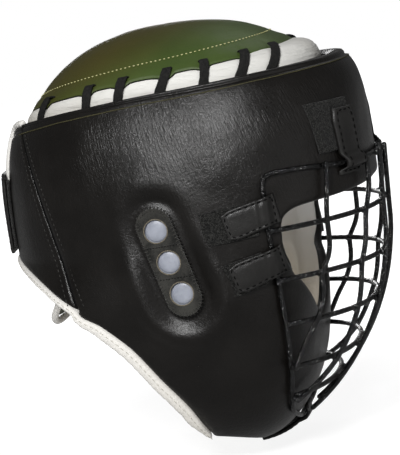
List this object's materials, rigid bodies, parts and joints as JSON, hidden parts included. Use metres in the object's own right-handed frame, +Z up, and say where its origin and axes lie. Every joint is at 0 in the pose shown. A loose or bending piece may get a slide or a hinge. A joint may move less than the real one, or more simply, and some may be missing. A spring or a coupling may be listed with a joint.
{
  "type": "boxing headgear with face cage",
  "caption": "Padded leather boxing headgear with a laced crown, vented ear patches and a wire face cage held on by hook and loop tabs.",
  "frame": {"origin": "middle of the head space, level with the ears, where the mount head is", "axes": "+X out of the face, +Y to the wearer's left, +Z up through the crown"},
  "size_m": [0.2661, 0.2088, 0.2958],
  "materials": {
    "black_leather": "soft dull grain",
    "crown_leather": "smooth olive green grain",
    "tongue_leather": "olive grain",
    "white_leather": "creased off-white",
    "lining_leather": "smooth grey-white",
    "foam": "closed cell foam",
    "lace": "flat woven lace",
    "suede": "suede",
    "clear_plastic": "pale translucent",
    "dipped_wire": "glossy dip coat over steel wire",
    "loop_pile": "fuzzy loop pile"
  },
  "bodies": {
    "shell": {"front_cover": "black_leather", "rear_cover_right": "black_leather", "rear_cover_left": "black_leather", "forehead_pad": "foam", "side_pad_right": "foam", "side_pad_left": "foam", "chin_pad": "foam", "rear_pad_right": "foam", "rear_pad_left": "foam", "front_lining": "lining_leather", "rear_lining": "lining_leather", "edge_band": "white_leather", "bottom_binding": "white_leather", "crown_cover": "crown_leather", "crown_pad": "foam", "crown_lining": "lining_leather", "crown_lace": "lace", "ear_patch_right": "suede", "ear_patch_left": "suede", "ear_insert_right": "clear_plastic", "ear_insert_left": "clear_plastic", "forehead_patch_right": "loop_pile", "forehead_patch_left": "loop_pile", "side_patch_upper_right": "loop_pile", "side_patch_upper_left": "loop_pile", "side_patch_lower_right": "loop_pile", "side_patch_lower_left": "loop_pile", "chin_patch": "loop_pile", "rear_patch": "suede", "neck_tongue": "tongue_leather", "tongue_binding": "white_leather"},
    "cage": {"cage_rim_wire": "dipped_wire", "cage_bar_1": "dipped_wire", "cage_bar_2": "dipped_wire", "cage_bar_3": "dipped_wire", "cage_bar_4": "dipped_wire", "cage_bar_5": "dipped_wire", "cage_middle_uprights": "dipped_wire", "cage_inner_uprights": "dipped_wire", "cage_outer_uprights": "dipped_wire"},
    "forehead_tab_right": {"forehead_tab_right": "black_leather"},
    "forehead_tab_left": {"forehead_tab_left": "black_leather"},
    "side_tab_upper_right": {"side_tab_upper_right": "black_leather"},
    "side_tab_upper_left": {"side_tab_upper_left": "black_leather"},
    "side_tab_lower_right": {"side_tab_lower_right": "black_leather"},
    "side_tab_lower_left": {"side_tab_lower_left": "black_leather"},
    "chin_tab": {"chin_tab": "black_leather"},
    "rear_flap": {"rear_flap": "black_leather"}
  },
  "joints": [
    {"name": "cage_swing", "type": "hinge", "parent": "shell", "child": "cage", "pos_m": [0.1312, 0, 0.044], "axis": [0, -1, 0], "range_deg": [0, 35], "deforming": ["forehead_tab_right", "forehead_tab_left", "side_tab_upper_right", "side_tab_upper_left", "side_tab_lower_right", "side_tab_lower_left", "chin_tab"]},
    {"name": "forehead_tab_right_peel", "type": "hinge", "parent": "shell", "child": "forehead_tab_right", "pos_m": [0.11632, -0.0499, 0.0332], "axis": [0.5117, 0.8592, 0], "range_deg": [0, 95]},
    {"name": "forehead_tab_left_peel", "type": "hinge", "parent": "shell", "child": "forehead_tab_left", "pos_m": [0.11632, 0.0499, 0.0332], "axis": [-0.5117, 0.8592, 0], "range_deg": [0, 95]},
    {"name": "side_tab_upper_right_peel", "type": "hinge", "parent": "shell", "child": "side_tab_upper_right", "pos_m": [0.07231, -0.08811, 0.02169], "axis": [-0.1371, -0.0333, 0.99], "range_deg": [0, 100]},
    {"name": "side_tab_upper_left_peel", "type": "hinge", "parent": "shell", "child": "side_tab_upper_left", "pos_m": [0.07231, 0.08811, 0.02169], "axis": [0.1371, -0.0333, -0.99], "range_deg": [0, 100]},
    {"name": "side_tab_lower_right_peel", "type": "hinge", "parent": "shell", "child": "side_tab_lower_right", "pos_m": [0.07224, -0.08435, -0.01206], "axis": [-0.1348, -0.5283, 0.8383], "range_deg": [0, 100]},
    {"name": "side_tab_lower_left_peel", "type": "hinge", "parent": "shell", "child": "side_tab_lower_left", "pos_m": [0.07224, 0.08435, -0.01206], "axis": [0.1348, -0.5283, -0.8383], "range_deg": [0, 100]},
    {"name": "chin_tab_peel", "type": "hinge", "parent": "shell", "child": "chin_tab", "pos_m": [0.05814, 0, -0.12687], "axis": [0, -1, 0], "range_deg": [0, 90]},
    {"name": "rear_flap_peel", "type": "hinge", "parent": "shell", "child": "rear_flap", "pos_m": [-0.12037, 0.036, 0.034], "axis": [-0.0476, 0, -0.9989], "range_deg": [0, 100]}
  ]
}
